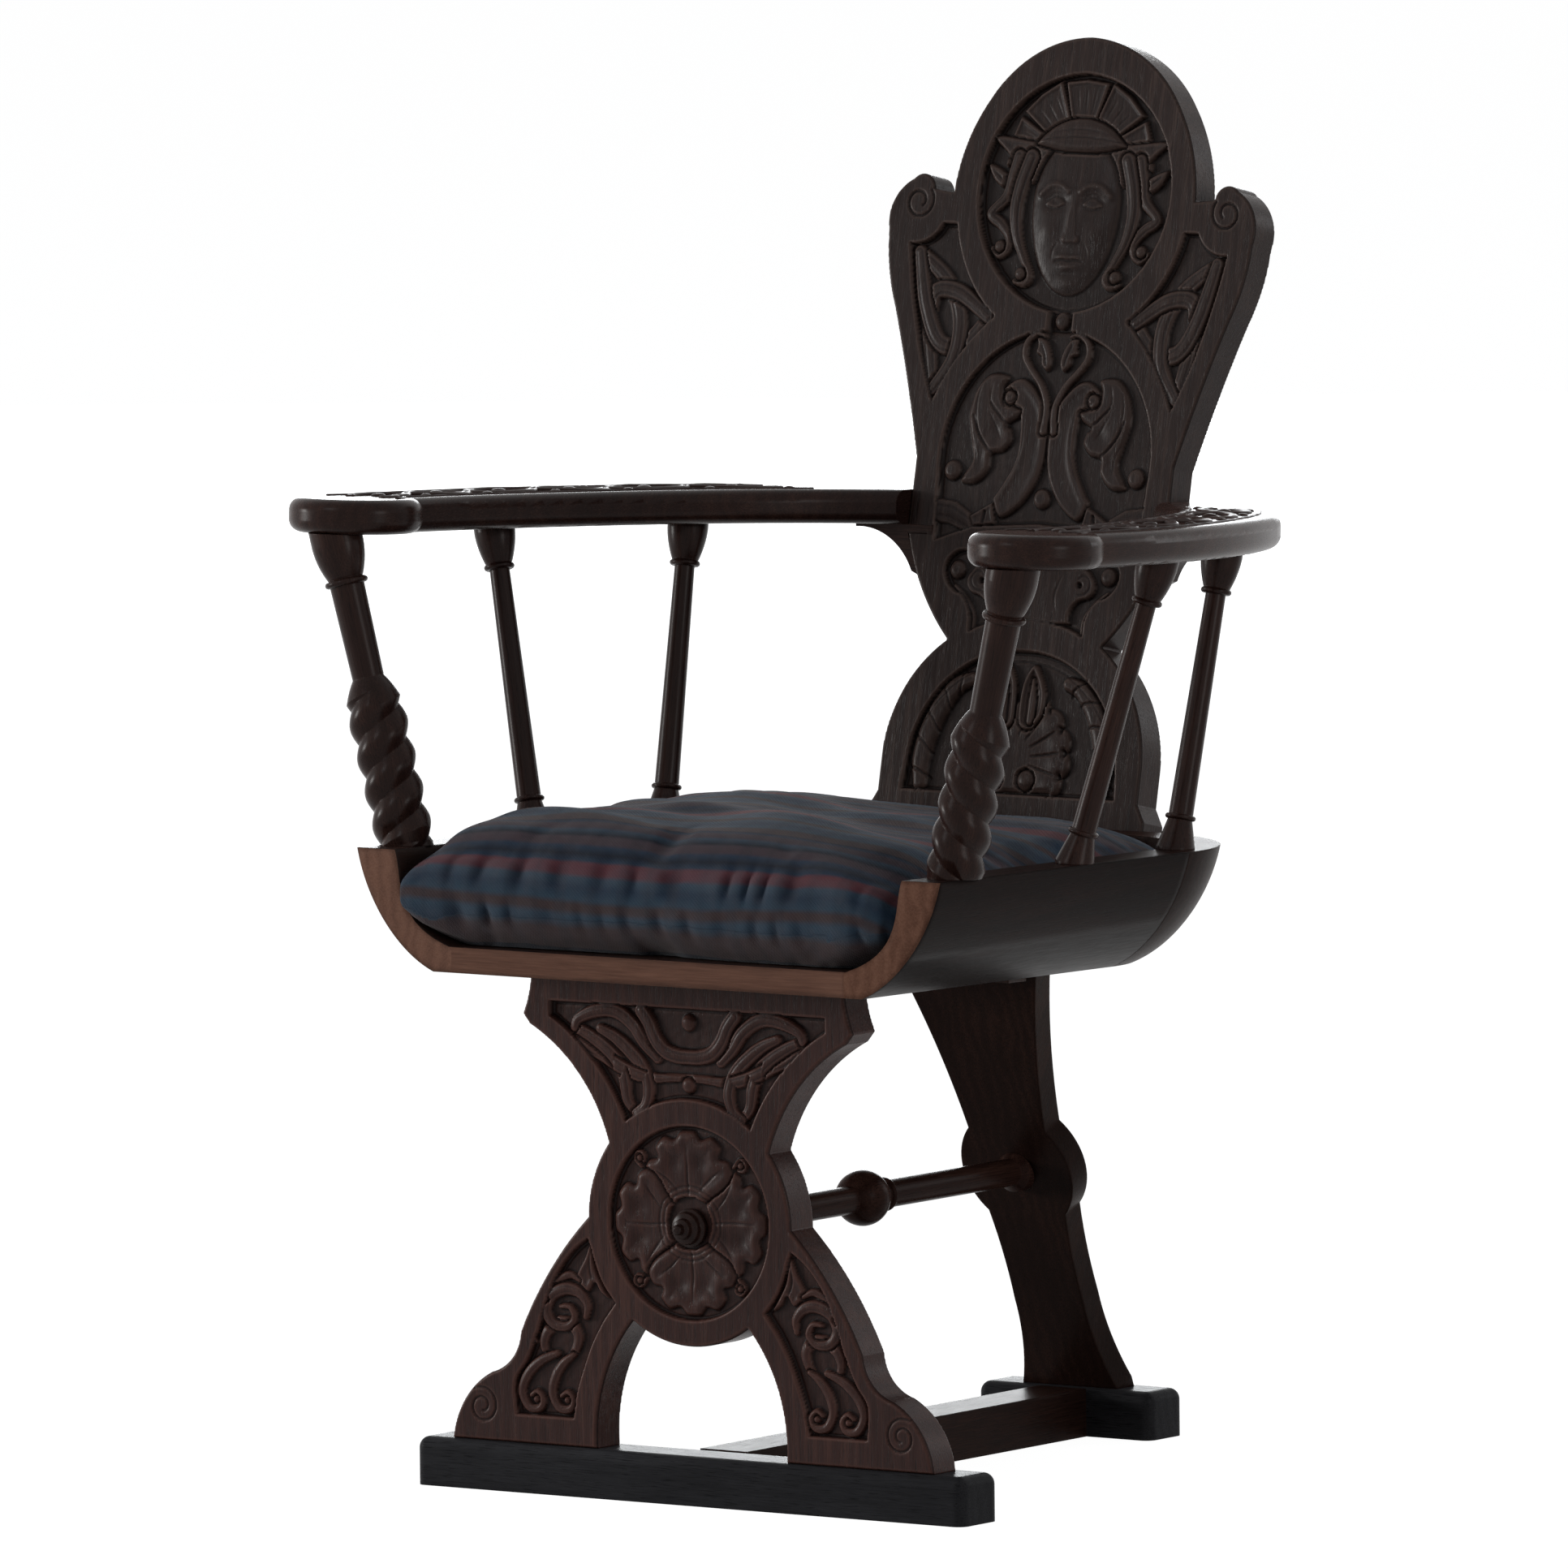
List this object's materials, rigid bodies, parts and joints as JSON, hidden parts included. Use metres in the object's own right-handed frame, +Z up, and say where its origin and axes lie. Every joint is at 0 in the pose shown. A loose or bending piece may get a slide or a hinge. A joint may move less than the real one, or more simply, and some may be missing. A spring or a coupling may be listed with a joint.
{
  "type": "carved armchair",
  "caption": "Carved dark oak armchair with a scooped seat, tall shaped back board, twist-turned arm posts, curved arms, a stretcher between two supports and a loose plaid cushion.",
  "frame": {"origin": "on the floor, on the centre line, midway between the front of the front foot rail and the rear of the rear foot", "axes": "+Z up, front towards -Y, the sitter's left side towards +X"},
  "size_m": [0.7478, 0.6527, 1.0989],
  "materials": {
    "dark_oak": "dark stained, waxed and worn",
    "plain_oak": "raw",
    "steel": "plain",
    "plaid_fabric": "woven wool check"
  },
  "bodies": {
    "root": {"arm_bracket_left": "dark_oak", "arm_bracket_right": "dark_oak", "arm_dowels": "plain_oak", "arm_left": "dark_oak", "arm_right": "dark_oak", "back_board": "dark_oak", "back_board_screws": "steel", "cleat_screws": "steel", "floor_rail": "dark_oak", "front_foot_rail": "dark_oak", "front_leg_panel": "dark_oak", "front_seat_cleat": "dark_oak", "front_spindle_left": "dark_oak", "front_spindle_right": "dark_oak", "rear_foot": "dark_oak", "rear_leg_panel": "dark_oak", "rear_seat_cleat": "dark_oak", "rear_spindle_left": "dark_oak", "rear_spindle_right": "dark_oak", "seat_bottom_board": "dark_oak", "seat_corner_left": "dark_oak", "seat_corner_right": "dark_oak", "seat_cushion": "plaid_fabric", "seat_dowels": "plain_oak", "seat_rear_wall": "dark_oak", "seat_side_left": "dark_oak", "seat_side_right": "dark_oak", "stretcher": "dark_oak", "stretcher_button": "dark_oak", "twist_post_left": "dark_oak", "twist_post_right": "dark_oak"}
  },
  "joints": []
}
